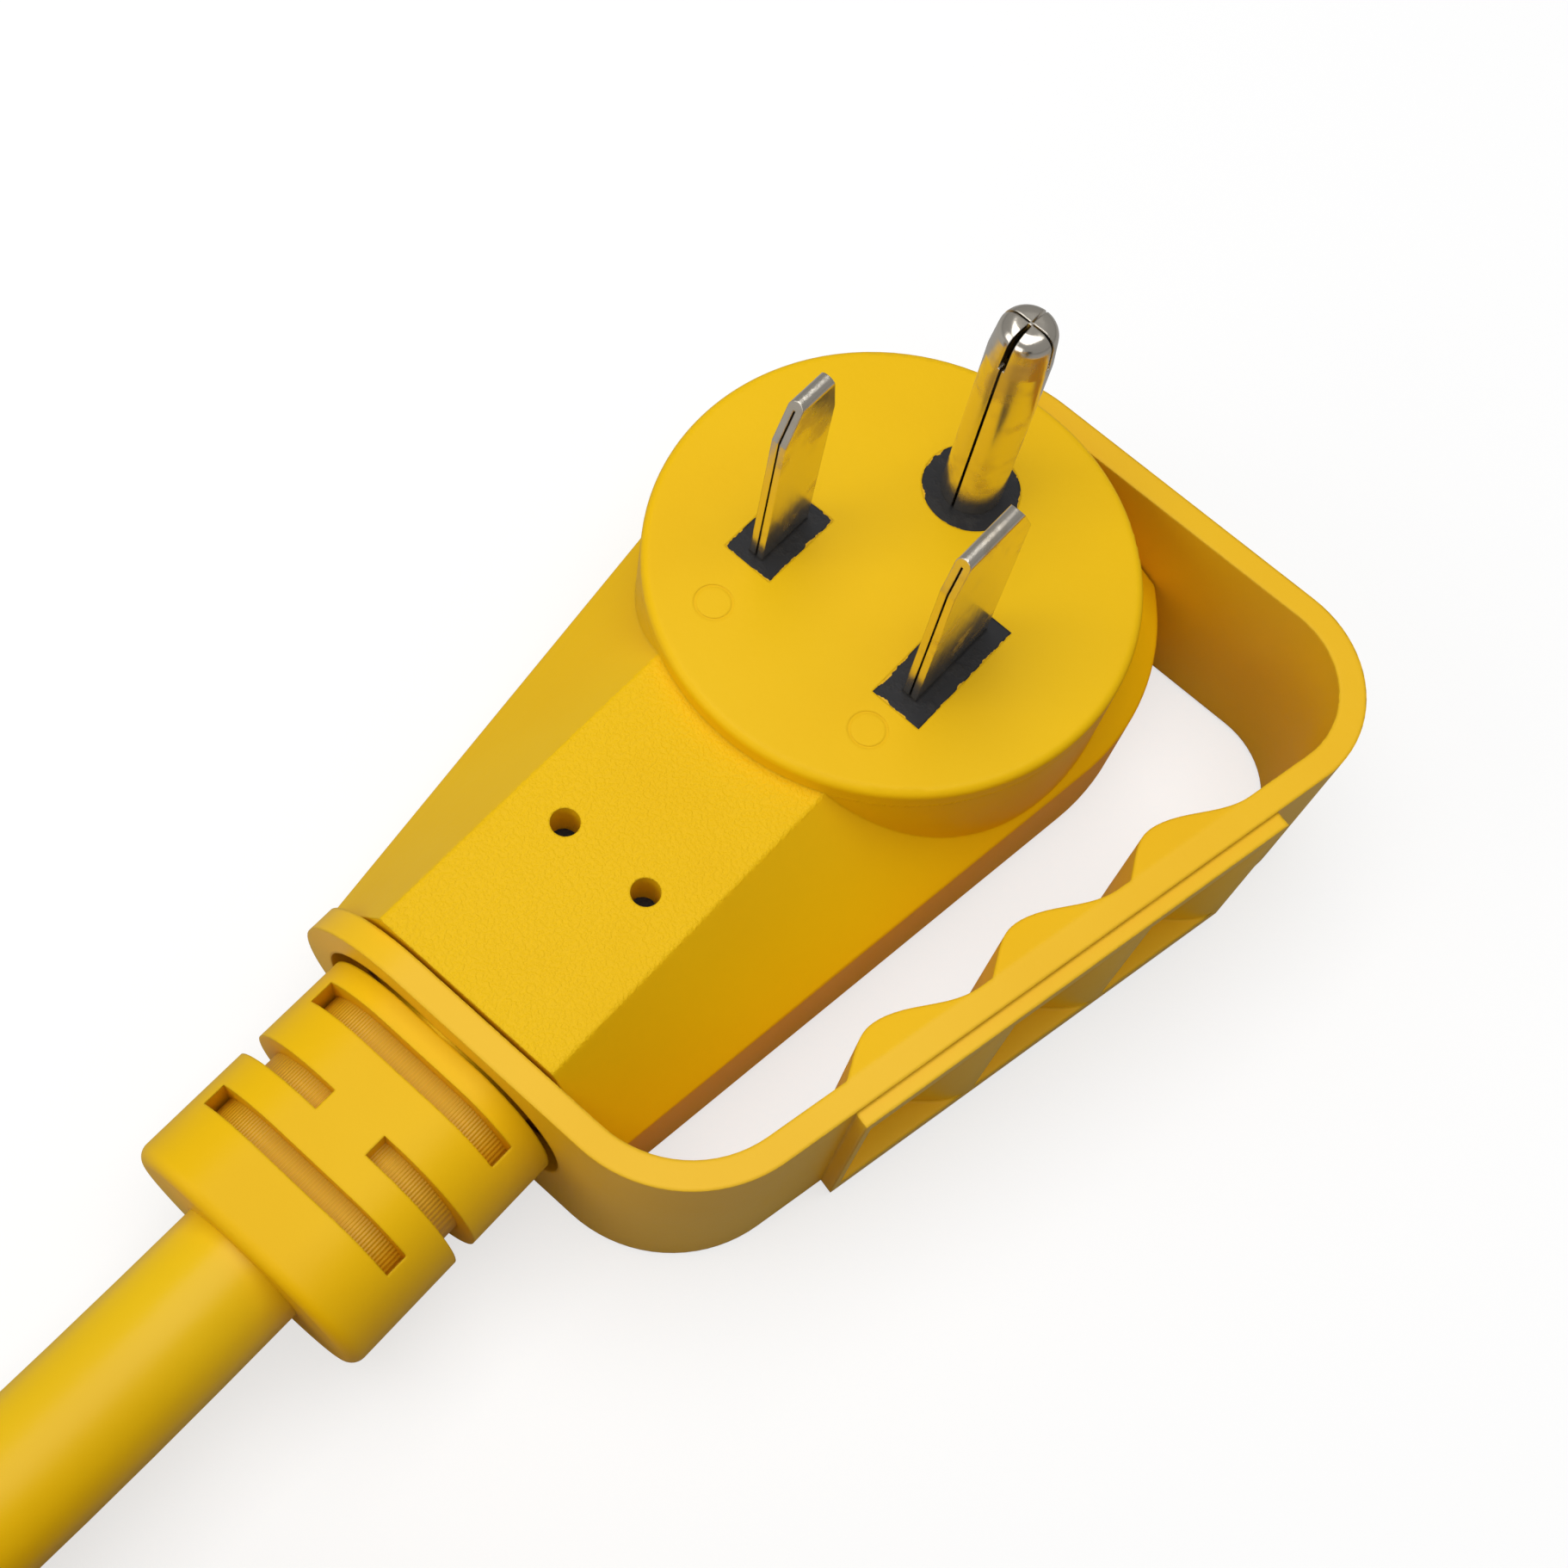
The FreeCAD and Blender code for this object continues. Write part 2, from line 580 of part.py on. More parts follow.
def hump_profile(place, s, z):
    """Plan outline of one finger hump: a steep near side and a long far slope."""
    h = HUMP_H
    p = HUMP_PITCH
    spline = Part.BSplineCurve()
    spline.interpolate([place(s + 0.06 * p, 0, z), place(s + 0.19 * p, -0.55 * h, z),
                        place(s + 0.34 * p, -h, z), place(s + 0.55 * p, -0.86 * h, z),
                        place(s + 0.75 * p, -0.32 * h, z), place(s + 0.96 * p, 0, z)])
    start, end = place(s + 0.06 * p, 0, z), place(s + 0.96 * p, 0, z)
    inside = [place(s + 0.96 * p, STRAP_T / 2, z), place(s + 0.06 * p, STRAP_T / 2, z)]
    return Part.Wire([spline.toShape(), Part.LineSegment(end, inside[0]).toShape(),
                      Part.LineSegment(inside[0], inside[1]).toShape(),
                      Part.LineSegment(inside[1], start).toShape()])


def hump_wedge(place, side):
    """Wedge that slopes the humps' top (side 1) or underside (side -1)."""
    edge = AXIS_Z + side * STRAP_HALF_H
    reach = HUMP_H + 1
    corners = [place(0, 0, edge), place(0, -reach, edge - side * HUMP_TAPER * reach),
               place(0, -reach, edge + side), place(0, 0, edge + side)]
    return prism(polygon(corners), place(HUMP_PITCH * (HUMPS + 1), 0, 0) - place(0, 0, 0))


def pocket_profile(place, s, z):
    """Plan outline of the pocket behind a hump, ramping out to the next crest."""
    p = HUMP_PITCH
    outer = STRAP_T + FRAME_T
    a = place(s + 0.05 * p, outer + 1, z)
    b = place(s + 0.05 * p, outer - 3.0, z)
    c = place(s + 0.22 * p, outer - 3.4, z)
    d = place(s + 0.36 * p, -HUMP_H + 2.6, z)
    e = place(s + 0.52 * p, -HUMP_H + 3.3, z)
    f = place(s + 1.02 * p, outer + 0.02, z)
    g = place(s + 1.02 * p, outer + 1, z)
    ramp = Part.BSplineCurve()
    ramp.interpolate([c, d, e, place(s + 0.75 * p, outer - 1.9, z), f])
    return Part.Wire([Part.LineSegment(a, b).toShape(), Part.LineSegment(b, c).toShape(),
                      ramp.toShape(), Part.LineSegment(f, g).toShape(),
                      Part.LineSegment(g, a).toShape()])


def handle():
    """One-piece strap: eye round the neck, grip with humps, far arm with its pivot bore."""
    strap = strap_blank()
    place = grip_frame()
    low = AXIS_Z - STRAP_HALF_H + FRAME_LOWER
    high = AXIS_Z + STRAP_HALF_H - FRAME_LOWER
    length = HUMP_PITCH * (HUMPS + 0.05)
    corners = [place(0, STRAP_T / 2, low), place(length, STRAP_T / 2, low),
               place(length, STRAP_T + FRAME_T, low), place(0, STRAP_T + FRAME_T, low)]
    pieces = [prism(polygon(corners), Z_AXIS * (high - low))]
    pockets = []
    for i in range(HUMPS):
        s = i * HUMP_PITCH
        hump = prism(hump_profile(place, s, AXIS_Z - STRAP_HALF_H), Z_AXIS * 2 * STRAP_HALF_H)
        pieces.append(hump.cut(hump_wedge(place, 1)).cut(hump_wedge(place, -1)))
        pockets.append(prism(pocket_profile(place, s, low + FRAME_LEDGE),
                             Z_AXIS * (high - low - 2 * FRAME_LEDGE)))
    strap = strap.fuse(pieces)
    for pocket in pockets:
        strap = strap.cut(pocket)
    near = (-BODY_NEAR - 10, -BODY_NEAR)
    eye_r = NECK_R + EYE_CLEARANCE
    eye = oval(EYE_Y + eye_r, eye_r, near)
    bore = rod_x((BODY_FAR - 1, BODY_FAR + 10), PIVOT_R + PIVOT_CLEARANCE)
    return strap.cut(eye).cut(bore).removeSplitter()


# ---- far pivot ----
def pivot_parts():
    """Brass insert in the body, shoulder screw and washer."""
    insert = rod_x((BODY_FAR - INSERT_L, BODY_FAR), INSERT_R)
    thread_r = INSERT_R - 1.7
    insert = insert.cut(rod_x((BODY_FAR - INSERT_L, BODY_FAR), thread_r))
    arm_out = BODY_FAR + RUNNING_GAP + STRAP_T
    washer_in = arm_out + 0.1
    head_in = washer_in + WASHER_T
    shoulder = rod_x((BODY_FAR, head_in), PIVOT_R)
    thread = rod_x((BODY_FAR - INSERT_L + 1, BODY_FAR), thread_r)
    head = rod_x((head_in, head_in + PIVOT_HEAD_T), PIVOT_HEAD_R)
    rim = edges_near(head, lambda e, m: abs(m.x - head_in - PIVOT_HEAD_T) < 0.01)
    head = head.makeFillet(1.2, rim)
    slot = box((head_in + PIVOT_HEAD_T - 1.2, head_in + PIVOT_HEAD_T + 1),
               (-PIVOT_HEAD_R, PIVOT_HEAD_R), (AXIS_Z - 0.8, AXIS_Z + 0.8))
    screw = shoulder.fuse([thread, head]).cut(slot).removeSplitter()
    washer = rod_x((washer_in, head_in), PIVOT_HEAD_R).cut(rod_x((washer_in, head_in), PIVOT_R))
    return insert, screw, washer


# ---- free cord ----
def coil_radii():
    """Centre-line radii of the coil's columns, from the outer one in."""
    outer = COIL_MEAN_R + CORD_D * (COIL_COLUMNS - 1) / 2
    return [outer - CORD_D * i for i in range(COIL_COLUMNS)]


def coil_ring(grow, z):
    """Ring round the coil's centre with a rounded oblong section, grown by grow."""
    radii = coil_radii()
    inner, outer = radii[-1] - CORD_R - grow, radii[0] + CORD_R + grow
    centre = (COIL_CENTRE[0], COIL_CENTRE[1], z[0])
    height = z[1] - z[0]
    ring = rod(centre, Z_AXIS, outer, height).cut(rod(centre, Z_AXIS, inner, height))
    rims = [e for e in ring.Edges if isinstance(e.Curve, Part.Circle)]
    return ring.makeFillet(CORD_R * 0.8 + grow, rims)


def coil_and_tie():
    """Outer shape of the coil, and the strap closed round its section."""
    height = COIL_LAYERS * CORD_D
    x, y = COIL_CENTRE
    outer = coil_radii()[0] + CORD_R
    width = (y - TIE_W / 2, y + TIE_W / 2)
    tie = coil_ring(TIE_T, (0, height + TIE_T)).cut(coil_ring(0, (TIE_T, height)))
    tie = tie.common(box((x, x + outer + 5), width, (-1, height + 5)))
    tab = box((x + outer - 34, x + outer - 10), width, (height + TIE_T, height + 2 * TIE_T))
    coil = coil_ring(0, (0, height)).cut(tie)
    return coil, tie.fuse(tab).removeSplitter()


def lead_route():
    """From the boot's end down to the floor and on to the coil's outer turn."""
    x, y = COIL_CENTRE
    r = coil_radii()[0]
    side = y + r
    return [(BOOT_END, 0, AXIS_Z), (-128, 0, AXIS_Z), (-160, 0.22 * side, CORD_R + 0.8),
            (-190, 0.72 * side, CORD_R), (x + 10, side - 0.4, CORD_R), (x - 14, side - 0.9, CORD_R)]


def tail_route():
    """From the coil's top outer turn up to the connector, which lies on the coil."""
    x, y = COIL_CENTRE
    r = coil_radii()[0]
    top = CORD_D * (COIL_LAYERS - 0.5)
    lying = CORD_D * COIL_LAYERS + LOCK_RING_R
    climb = lying - top
    route = []
    for inwards, angle, risen in TAIL_STEPS:
        turn = math.radians(angle)
        route.append((x + (r - inwards) * math.cos(turn), y + (r - inwards) * math.sin(turn),
                      top + climb * risen))
    return route


# ---- far-end connector ----
def connector():
    """Locking connector built along +X from the boot's tip at X = 0 on its own axis."""
    boot_end = CONN_BOOT_L
    body_end = boot_end + CONN_BODY_L
    nose_end = body_end + CONN_NOSE_L
    face_t = 6.0
    parts = {}

    def turned(x0, x1, r):
        return Part.makeCylinder(r, x1 - x0, V(x0, 0, 0), X_AXIS)

    boot = Part.makeCone(CONN_BOOT_R[0], CONN_BOOT_R[1], boot_end, V(0, 0, 0), X_AXIS)
    for i in range(5):
        groove = turned(4 + 5.6 * i, 6.6 + 5.6 * i, 30)
        groove = groove.cut(turned(4 + 5.6 * i, 6.6 + 5.6 * i, CORD_R + 1.8))
        keep = box((0, 60), (-2.2, 2.2), (-40, 40))
        keep.rotate(V(0, 0, 0), X_AXIS, 90 * (i % 2))
        boot = boot.cut(groove.cut(keep))
    parts["connector_boot"] = boot.cut(turned(-1, boot_end, CORD_R))

    body = turned(boot_end, body_end, CONN_BODY_R)
    ends = edges_near(body, lambda e, m: abs(m.x - boot_end) < 0.01)
    body = body.makeFillet(6.0, ends)
    flange_x = body_end - CONN_FLANGE_T
    body = body.fuse([turned(flange_x, body_end, CONN_FLANGE_R),
                      turned(body_end, nose_end - face_t, CONN_NOSE_R)])
    for i in range(12):
        rib = box((boot_end + 9, flange_x - 16), (-1.1, 1.1), (CONN_BODY_R - 1, CONN_BODY_R + 1.1))
        rib.rotate(V(0, 0, 0), X_AXIS, 30 * i + 15)
        body = body.fuse(rib)
    room = (boot_end + 10, nose_end - face_t)
    body = body.cut(turned(room[0], room[1], CONN_NOSE_R - 3.5))
    body = body.cut(turned(boot_end - 1, room[0], CORD_R))
    parts["connector_body"] = body.removeSplitter()

    face = turned(nose_end - face_t, nose_end, CONN_NOSE_R)
    face = face.makeFillet(0.8, edges_near(face, lambda e, m: abs(m.x - nose_end) < 0.01))
    spots = {"line_1": 0, "line_2": 120, "ground": 240}
    for name, angle in spots.items():
        y = SOCKET_PCD_R * math.cos(math.radians(angle + 90))
        z = SOCKET_PCD_R * math.sin(math.radians(angle + 90))
        slot_w = 9.0 if name == "ground" else 8.0

        def turn_in_place(shape):
            shape.rotate(V(0, 0, 0), X_AXIS, angle)
            return shape

        slot = box((nose_end - face_t - 1, nose_end + 1), (-slot_w / 2, slot_w / 2),
                   (SOCKET_PCD_R - 1.1, SOCKET_PCD_R + 1.1))
        face = face.cut(turn_in_place(slot))
        spring = box((nose_end - face_t - SOCKET_L, nose_end - face_t),
                     (-slot_w / 2 - 0.9, slot_w / 2 + 0.9), (SOCKET_PCD_R - 2.4, SOCKET_PCD_R + 2.4))
        spring = spring.cut(box((nose_end - face_t - SOCKET_L + 3, nose_end),
                                (-slot_w / 2, slot_w / 2), (SOCKET_PCD_R - 1.1, SOCKET_PCD_R + 1.1)))
        parts["connector_contact_" + name] = turn_in_place(spring)
        wire_x = (room[0], nose_end - face_t - SOCKET_L)
        start = (wire_x[0], y * 0.28, z * 0.28)
        end = (wire_x[1], y, z)
        span = wire_x[1] - wire_x[0]
        parts["connector_conductor_" + name] = tube(
            [start, (start[0] + 0.3 * span, start[1], start[2]),
             (end[0] - 0.3 * span, end[1], end[2]), end], 2.2, "connector " + name)
    parts["connector_face"] = face
    parts["connector_jacket_end"] = turned(0, room[0], CORD_R)

    gasket = turned(body_end, body_end + GASKET_T, CONN_FLANGE_R - 1)
    parts["connector_gasket"] = gasket.cut(turned(body_end, body_end + GASKET_T, CONN_NOSE_R))

    lip_x = flange_x - RUNNING_GAP - LOCK_LIP_T
    ring = turned(lip_x, lip_x + LOCK_RING_L, LOCK_RING_R)
    ring = ring.makeFillet(1.2, edges_near(ring, lambda e, m: abs(m.x - lip_x) < 0.01
                                           or abs(m.x - lip_x - LOCK_RING_L) < 0.01))
    ring = ring.cut(turned(lip_x + LOCK_LIP_T, lip_x + LOCK_RING_L, LOCK_BORE_R))
    ring = ring.cut(turned(lip_x, lip_x + LOCK_LIP_T, CONN_BODY_R + 0.08))
    for i in range(LOCK_GRIPS):
        scoop = Part.makeCylinder(2.6, LOCK_RING_L, V(lip_x - 1, 0, LOCK_RING_R + 1.4), X_AXIS)
        scoop.rotate(V(0, 0, 0), X_AXIS, 360 / LOCK_GRIPS * i)
        ring = ring.cut(scoop)
    parts["lock_ring"] = ring.removeSplitter()
    print("connector: lock ring from", lip_x, "to", lip_x + LOCK_RING_L, "nose end", nose_end)
    return parts


def placed_connector():
    """The connector moved to the end of the tail, in line with its last run."""
    route = tail_route()
    start, end = V(*route[-2]), V(*route[-1])
    direction = end - start
    yaw = math.degrees(math.atan2(direction.y, direction.x))
    placed = {}
    for name, shape in connector().items():
        shape.rotate(V(0, 0, 0), Z_AXIS, yaw)
        shape.translate(end)
        placed[name] = shape
    print("connector axis starts", tuple(end), "yaw", yaw)
    return placed


# ---- all nodes ----
def build():
    nodes = {"plug_body": plug_body()}
    nodes["inner_case_top"], nodes["inner_case_bottom"] = inner_case()
    nodes["blade_narrow"] = blade(NARROW_X, NARROW_TIP_X, BLADE_Y)
    nodes["blade_wide"] = blade(WIDE_X, WIDE_TIP_X, -BLADE_Y)
    nodes["ground_pin"] = ground_pin()
    nodes["conductor_line_1"] = conductor(CONDUCTOR_SPOTS[0], NARROW_X[0] + 2.4, BLADE_Y, "line 1")
    nodes["conductor_line_2"] = conductor(CONDUCTOR_SPOTS[1], WIDE_X[0] + 2.4, -BLADE_Y, "line 2")
    nodes["conductor_ground"] = conductor(
        CONDUCTOR_SPOTS[2], GROUND_X - GROUND_R + GROUND_WALL, 0.0, "ground")
    nodes["strain_relief"] = strain_relief()
    nodes["strain_core"] = strain_core()
    nodes["jacket_end"] = jacket_end()
    nodes["handle"] = handle()
    nodes["pivot_insert"], nodes["pivot_screw"], nodes["pivot_washer"] = pivot_parts()
    plug_box = Part.makeCompound(list(nodes.values())).optimalBoundingBox(False, False)
    nodes["cord_coil"], nodes["coil_tie"] = coil_and_tie()
    nodes["cord_lead"] = tube(lead_route(), CORD_R, "lead")
    nodes["cord_tail"] = tube(tail_route(), CORD_R, "tail")
    nodes.update(placed_connector())
    middle = plug_box.Center
    return nodes, V(-middle.x, -middle.y, 0)


def main():
    os.makedirs("parts", exist_ok=True)
    nodes, shift = build()
    for name, shape in nodes.items():
        shape.translate(shift)
        solids = len(shape.Solids)
        print("%-30s solids %d valid %s volume %.0f" % (name, solids, shape.isValid(), shape.Volume))
        shape.exportStep("parts/%s.step" % name)
    print("shift", tuple(round(c, 3) for c in shift), "nodes", len(nodes))


main()
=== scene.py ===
# %% [markdown]
# A shore power cord: a moulded yellow plug with three metal pins, a strap handle that swings
# round the plug's neck, a slotted strain relief, a thick cord wound into a coil, and a locking
# connector on the far end. The hard parts come from an engineering model, loaded first as a
# fixed frame, so every piece made here can take its place from that frame in metres.

# %% Load the frame
import math
import bpy
from mathutils import Vector, Matrix


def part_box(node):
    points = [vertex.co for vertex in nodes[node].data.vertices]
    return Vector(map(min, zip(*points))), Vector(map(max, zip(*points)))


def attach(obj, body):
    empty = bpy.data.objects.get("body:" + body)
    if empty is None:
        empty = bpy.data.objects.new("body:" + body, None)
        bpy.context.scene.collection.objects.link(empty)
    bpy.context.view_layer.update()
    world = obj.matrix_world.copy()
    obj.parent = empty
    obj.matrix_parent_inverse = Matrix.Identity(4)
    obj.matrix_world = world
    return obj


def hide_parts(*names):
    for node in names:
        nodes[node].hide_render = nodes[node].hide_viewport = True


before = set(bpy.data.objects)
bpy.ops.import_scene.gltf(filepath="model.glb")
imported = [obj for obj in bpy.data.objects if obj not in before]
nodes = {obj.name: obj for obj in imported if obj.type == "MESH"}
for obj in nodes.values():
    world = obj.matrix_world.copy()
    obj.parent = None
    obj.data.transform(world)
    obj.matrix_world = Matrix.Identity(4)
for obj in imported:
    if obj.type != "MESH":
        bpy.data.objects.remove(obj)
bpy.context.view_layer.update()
print("the frame holds", len(nodes), "nodes")

# %% [markdown]
# The plug's own origin lies under the centre of its round face, level with its back. The frame's
# origin stands under the middle of the box round plug, boot and handle instead, so a point in
# plug millimetres is shifted into the frame. The shift is read off two boxes: the body's, which
# ends at the neck, and the pivot screw's, which is symmetrical about the plug's axis.

# %% Plug coordinates
MILLIMETRE = 0.001    # in the frame's metres
FACE_Z = 31.3         # the raised round face
AXIS_Z = 14.3         # the axis of neck, cord and handle
NECK_END = 70.5       # from the plug's origin back to the end of the neck
screw_low, screw_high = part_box("pivot_screw")
body_low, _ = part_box("plug_body")
SHIFT = Vector((body_low[0] * 1000 + NECK_END, (screw_low[1] + screw_high[1]) * 500, 0.0))


def at(x, y, z):
    """A point given in plug millimetres, in the frame's metres."""
    return Vector((x, y, z)) * MILLIMETRE + SHIFT * MILLIMETRE


print("plug origin sits at", tuple(round(c, 5) for c in SHIFT * MILLIMETRE))

# %% [markdown]
# The camera stands above the cord end of the plug and looks down at the pins. A camera needs a
# place and three directions: right, up and backwards. Written as the columns of a matrix they
# fix its tilt exactly, which is steadier than juggling three angles.

# %% Camera
CAMERA_PLACE = at(-115.245, -51.424, 241.475)
FOCAL_LENGTH = 51.34  # on a sensor 36 mm wide
right = Vector((0.6509, -0.7504, 0.1154)).normalized()
back = Vector((-0.3750, -0.1856, 0.9083)).normalized()
up = back.cross(right).normalized()
right = up.cross(back)
lens = bpy.data.cameras.new("studio_camera")
lens.sensor_fit = "HORIZONTAL"
lens.sensor_width = 36.0
lens.lens = FOCAL_LENGTH
lens.clip_start = 0.01
camera = bpy.data.objects.new("studio_camera", lens)
bpy.context.scene.collection.objects.link(camera)
turn = Matrix((right, up, back)).transposed().to_4x4()
camera.matrix_world = Matrix.Translation(CAMERA_PLACE) @ turn
bpy.context.scene.camera = camera
print("camera looks along", tuple(round(-c, 3) for c in back))

# %% [markdown]
# The cord is one flexible line from the strain relief to the connector: out of the boot, down
# to the ground, round a neat tied coil and up over the coil's side to the connector. One smooth
# spline carries all of it, because a real cord has no joints. Each layer of the coil is a flat
# spiral; at its end the cord climbs one diameter and winds back over itself.
# Lengths and places on the route are in plug millimetres.

# %% The cord's route
CORD = 15.0           # the cord's diameter
CORD_D = CORD / 1000  # the same in metres
LYING = CORD / 2      # height of the centre line where the cord lies on the ground
COIL_X, COIL_Y = -226.0, -95.0
OUTER_R = 112.0       # the coil's outermost turn
LAYERS = 4
CLIMB = 0.25          # part of a turn that a climb takes
SPIRAL = 2.8514       # turns of one flat spiral
POINTS_PER_TURN = 16

# the lead begins where the cord leaves the strain relief
lead = [(-98.3, 0, AXIS_Z), (-128, 0, AXIS_Z), (-160, 3.74, 8.3), (-190, 12.24, LYING),
        (-216, 16.6, LYING)]
tail_steps = [        # inwards from the outer turn, angle in degrees, part of the climb
    (-0.5, 164.0, 0.03), (0.0, 181.5, 0.2), (0.6, 198.8, 0.45), (4.3, 216.3, 0.7),
    (10.6, 234.5, 0.9), (19.3, 253.7, 1.0), (28.1, 272.3, 1.0)]
TOP_Z = 52.5          # centre line of the top layer
REST_Z = 91.0         # height of the connector's axis, where it lies on the coil


def ease(t):
    """0 before t = 0, 1 after t = 1 and a smooth step between."""
    t = min(max(t, 0.0), 1.0)
    return t * t * (3 - 2 * t)


def coil_place(turns):
    """Radius and height of the cord's centre line after so many turns, in millimetres."""
    stage = SPIRAL + CLIMB
    layer = min(int(turns / stage), LAYERS - 1)
    along = turns - layer * stage
    travelled = CORD * min(along, SPIRAL)
    inner = OUTER_R - CORD * SPIRAL
    radius = OUTER_R - travelled if layer % 2 == 0 else inner + travelled
    height = LYING + CORD * (layer + ease((along - SPIRAL) / CLIMB))
    return radius, height


# A smooth curve through many turns runs a little inside its control points: it touches the middle
# of each straight line between them. So the points stand outside the wanted radius.
OUTSIDE = 1 - math.pi ** 2 / (2 * POINTS_PER_TURN ** 2)
total_turns = LAYERS * SPIRAL + (LAYERS - 1) * CLIMB
coil = []
steps = round(total_turns * POINTS_PER_TURN)
for i in range(1, steps):
    turns = i / POINTS_PER_TURN
    radius, height = coil_place(turns)
    angle = math.pi / 2 + 2 * math.pi * turns
    radius /= OUTSIDE
    coil.append((COIL_X + radius * math.cos(angle), COIL_Y + radius * math.sin(angle), height))
tail = []
for inwards, angle, rise in tail_steps:
    radius, angle = OUTER_R - inwards, math.radians(angle)
    tail.append((COIL_X + radius * math.cos(angle), COIL_Y + radius * math.sin(angle),
                 TOP_Z + (REST_Z - TOP_Z) * rise))
print("coil:", round(total_turns, 2), "turns,", len(coil), "points")

# %% Make the cord
route = [at(*p) for p in lead + coil + tail]
line = bpy.data.curves.new("power_cord", "CURVE")
line.dimensions = "3D"
line.bevel_depth = 1.0            # times each point's radius, which is the cord's
line.bevel_resolution = 6
line.resolution_u = 6
line.use_fill_caps = True
spline = line.splines.new("NURBS")
spline.points.add(len(route) - 1)
for point, place in zip(spline.points, route):
    point.co = (*place, 1.0)
    point.radius = CORD_D / 2
spline.order_u = 3
spline.use_endpoint_u = True
cord = bpy.data.objects.new("power_cord", line)
bpy.context.scene.collection.objects.link(cord)
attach(cord, "plug_and_cord")
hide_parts("cord_lead", "cord_coil", "cord_tail")

# %% [markdown]
# Shader maths reads best as ordinary arithmetic. This small class wraps an output socket, so
# that 1 - mask or height * 0.3 adds the Math node by itself. Every other node comes from one
# method that takes the node's type, its settings and its inputs. Noise scales count waves in a
# metre, and the heights given to finish are in millimetres.

# %% A socket that can do arithmetic
class Wire:
    """An output socket of a shader tree that understands + - * and powers."""

    def __init__(self, tree, socket):
        self.tree, self.socket = tree, socket

    def __add__(self, other): return self.tree.math("ADD", self, other)
    def __radd__(self, other): return self.tree.math("ADD", other, self)
    def __sub__(self, other): return self.tree.math("SUBTRACT", self, other)
    def __rsub__(self, other): return self.tree.math("SUBTRACT", other, self)
    def __mul__(self, other): return self.tree.math("MULTIPLY", self, other)
    def __rmul__(self, other): return self.tree.math("MULTIPLY", other, self)
    def __pow__(self, other): return self.tree.math("POWER", self, other)
    def above(self, other): return self.tree.math("GREATER_THAN", self, other)
    def below(self, other): return self.tree.math("LESS_THAN", self, other)
    def size(self): return self.tree.math("ABSOLUTE", self)

    def band(self, low, high):
        """0 below low, 1 above high and a smooth step between."""
        return self.tree.node("ShaderNodeMapRange", {"interpolation_type": "SMOOTHSTEP"},
                              {"Value": self, "From Min": low, "From Max": high,
                               "To Min": 0.0, "To Max": 1.0})


class Tree:
    """The node tree of a material or a world, with short ways to add nodes."""

    def __init__(self, owner):
        owner.use_nodes = True
        self.owner = owner
        self.nodes = owner.node_tree.nodes
        self.links = owner.node_tree.links
        self.nodes.clear()

    def node(self, kind, settings=None, inputs=None, output=0):
        made = self.nodes.new(kind)
        for key, value in (settings or {}).items():
            setattr(made, key, value)
        for key, value in (inputs or {}).items():
            socket = made.inputs[key]
            if isinstance(value, Wire):
                self.links.new(value.socket, socket)
            elif socket.type == "RGBA":
                socket.default_value = (*value, 1.0)
            else:
                socket.default_value = value
        return Wire(self, made.outputs[output]) if made.outputs else None

    def math(self, operation, *values):
        return self.node("ShaderNodeMath", {"operation": operation}, dict(enumerate(values)))

    def mix(self, mask, first, second):
        """Colour mix: first where mask is 0, second where it is 1."""
        return self.node("ShaderNodeMix", {"data_type": "RGBA"},
                         {0: mask, 6: first, 7: second}, output=2)

    def place(self):
        return self.node("ShaderNodeNewGeometry")

    def seen(self):
        """1 where the camera looks straight at the surface or the sky, 0 for all other rays."""
        return self.node("ShaderNodeLightPath")

    def axis(self, which):
        return self.node("ShaderNodeSeparateXYZ", None, {0: self.place()},
                         output="XYZ".index(which))

    def noise(self, scale, detail=2.0, roughness=0.5, vector=None):
        return self.node("ShaderNodeTexNoise", None,
                         {"Vector": vector or self.place(), "Scale": scale, "Detail": detail,
                          "Roughness": roughness})

    def stretched(self, x, y, z):
        """The position scaled by three factors, for grain with a direction."""
        return self.node("ShaderNodeVectorMath", {"operation": "MULTIPLY"},
                         {0: self.place(), 1: (x, y, z)})

    def finish(self, colour, roughness, height=None, metallic=0.0, edge=0.0004, **constants):
        """Principled surface, its edges rounded to the light by edge metres, with a bump."""
        normal = self.node("ShaderNodeBevel", {"samples": 4}, {"Radius": edge}) if edge else None
        if height is not None:
            inputs = {"Height": height, "Distance": MILLIMETRE, "Strength": 1.0}
            if normal:
                inputs["Normal"] = normal
            normal = self.node("ShaderNodeBump", None, inputs)
        sockets = {"Base Color": colour, "Roughness": roughness, "Metallic": metallic}
        if normal:
            sockets["Normal"] = normal
        sockets.update({name.replace("_", " "): value for name, value in constants.items()})
        shader = self.node("ShaderNodeBsdfPrincipled", None, sockets)
        self.node("ShaderNodeOutputMaterial", None, {"Surface": shader})
        return self.owner


def dress(material, *names):
    """Give one material to carried-over nodes or pieces, by name."""
    for name in names:
        thing = nodes[name] if name in nodes else bpy.data.objects[name]
        thing.data.materials.clear()
        thing.data.materials.append(material)


# %% [markdown]
# The plug's body is overmoulded in soft yellow vinyl. It has a satin skin with very slight
# waviness and a pebble grain on the top flat only. Dark specks come only where the noise peaks,
# so they are rare or absent. Position decides where the grain goes, so nothing is painted.

